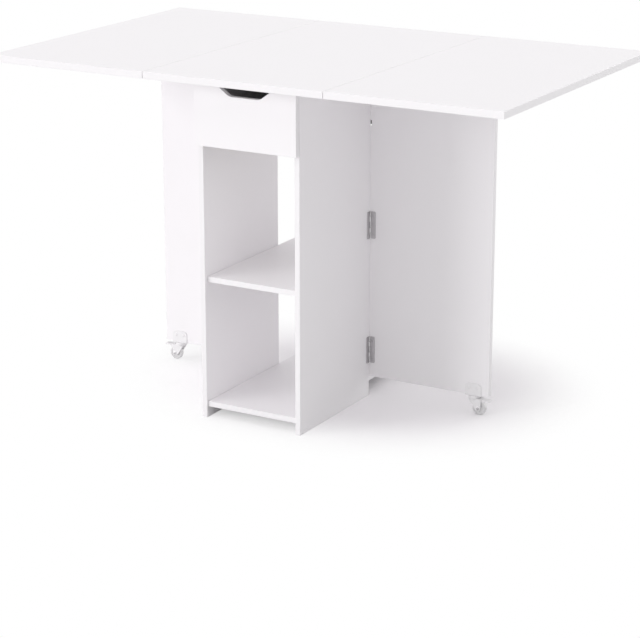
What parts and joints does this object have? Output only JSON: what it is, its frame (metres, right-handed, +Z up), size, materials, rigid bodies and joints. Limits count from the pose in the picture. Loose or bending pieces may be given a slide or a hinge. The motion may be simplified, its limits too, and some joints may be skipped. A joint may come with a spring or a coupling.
{
  "type": "kitchen table with storage cabinet",
  "caption": "Drop-leaf kitchen table: an open cabinet with a drawer and shelves carries a fixed top and two leaves held up by swing-out gates on braked casters.",
  "frame": {"origin": "on the floor under the middle of the table top", "axes": "+X along the table's length, +Y from the drawer front to the open back, +Z up"},
  "size_m": [1.2, 0.73, 0.75],
  "materials": {
    "white_melamine": "particle board with a satin white melamine face and matching edge band",
    "hardboard": "thin hardboard, white lacquered on the upper face",
    "steel": "zinc plated steel",
    "zinc": "die-cast zinc",
    "beech": "bare beech dowel",
    "dark_runner": "dark moulded plastic strip",
    "clear_rubber": "soft translucent dot",
    "white_plastic": "moulded plastic",
    "caster_plastic": "moulded plastic with a soft shine",
    "wheel_plastic": "moulded nylon"
  },
  "bodies": {
    "cabinet": {"bottom_shelf": "white_melamine", "cam_bolts": "steel", "cam_locks": "zinc", "center_top": "white_melamine", "drawer_bumpers": "clear_rubber", "drawer_stops": "white_plastic", "left_drawer_runner": "dark_runner", "left_gate_hinge_fixed": "steel", "left_gate_hinge_pins": "steel", "left_gate_screws_fixed": "steel", "left_leaf_hinge_fixed": "steel", "left_leaf_hinge_pins": "steel", "left_leaf_screws_fixed": "steel", "left_side_panel": "white_melamine", "middle_shelf": "white_melamine", "rear_rail": "white_melamine", "right_drawer_runner": "dark_runner", "right_gate_hinge_fixed": "steel", "right_gate_hinge_pins": "steel", "right_gate_screws_fixed": "steel", "right_leaf_hinge_fixed": "steel", "right_leaf_hinge_pins": "steel", "right_leaf_screws_fixed": "steel", "right_side_panel": "white_melamine", "runner_screws": "steel", "wood_dowels": "beech"},
    "drawer": {"drawer_back": "white_melamine", "drawer_bottom": "hardboard", "drawer_front": "white_melamine", "drawer_left_side": "white_melamine", "drawer_right_side": "white_melamine"},
    "left_leaf": {"left_leaf": "white_melamine", "left_leaf_hinge_moving": "steel", "left_leaf_screws_moving": "steel"},
    "left_gate": {"left_bracket_bolts": "white_plastic", "left_caster_bracket": "caster_plastic", "left_gate": "white_melamine", "left_gate_hinge_moving": "steel", "left_gate_screws_moving": "steel", "left_kingpin": "steel"},
    "left_caster": {"left_caster_fork": "caster_plastic", "left_wheel_axle": "steel"},
    "left_wheel": {"left_wheel": "wheel_plastic"},
    "left_pedal": {"left_brake_pedal": "caster_plastic"},
    "right_leaf": {"right_leaf": "white_melamine", "right_leaf_hinge_moving": "steel", "right_leaf_screws_moving": "steel"},
    "right_gate": {"right_bracket_bolts": "white_plastic", "right_caster_bracket": "caster_plastic", "right_gate": "white_melamine", "right_gate_hinge_moving": "steel", "right_gate_screws_moving": "steel", "right_kingpin": "steel"},
    "right_caster": {"right_caster_fork": "caster_plastic", "right_wheel_axle": "steel"},
    "right_wheel": {"right_wheel": "wheel_plastic"},
    "right_pedal": {"right_brake_pedal": "caster_plastic"}
  },
  "joints": [
    {"name": "drawer_slide", "type": "slide", "parent": "cabinet", "child": "drawer", "axis": [0, -1, 0], "range_m": [0, 0.2375]},
    {"name": "left_leaf_hinge", "type": "hinge", "parent": "cabinet", "child": "left_leaf", "pos_m": [-0.2115, 0, 0.7322], "axis": [0, 1, 0], "range_deg": [0, 3]},
    {"name": "left_gate_hinge", "type": "hinge", "parent": "cabinet", "child": "left_gate", "pos_m": [-0.121, 0.0007, 0.38785], "axis": [0, 0, -1], "range_deg": [0, 90]},
    {"name": "left_caster_swivel", "type": "hinge", "parent": "left_gate", "child": "left_caster", "pos_m": [-0.375, 0.0067, 0.038], "axis": [0, 0, 1], "continuous": true},
    {"name": "left_wheel_spin", "type": "hinge", "parent": "left_caster", "child": "left_wheel", "pos_m": [-0.388, 0.0067, 0.015], "axis": [0, 1, 0], "continuous": true},
    {"name": "left_brake_pedal", "type": "hinge", "parent": "left_caster", "child": "left_pedal", "pos_m": [-0.3903, 0.0067, 0.0338], "axis": [0, -1, 0], "range_deg": [0, 8]},
    {"name": "right_leaf_hinge", "type": "hinge", "parent": "cabinet", "child": "right_leaf", "pos_m": [0.2115, 0, 0.7322], "axis": [0, -1, 0], "range_deg": [0, 3]},
    {"name": "right_gate_hinge", "type": "hinge", "parent": "cabinet", "child": "right_gate", "pos_m": [0.121, 0.0007, 0.38785], "axis": [0, 0, 1], "range_deg": [0, 90]},
    {"name": "right_caster_swivel", "type": "hinge", "parent": "right_gate", "child": "right_caster", "pos_m": [0.375, 0.0067, 0.038], "axis": [0, 0, 1], "continuous": true},
    {"name": "right_wheel_spin", "type": "hinge", "parent": "right_caster", "child": "right_wheel", "pos_m": [0.388, 0.0067, 0.015], "axis": [0, 1, 0], "continuous": true},
    {"name": "right_brake_pedal", "type": "hinge", "parent": "right_caster", "child": "right_pedal", "pos_m": [0.3903, 0.0067, 0.0338], "axis": [0, 1, 0], "range_deg": [0, 8]}
  ]
}
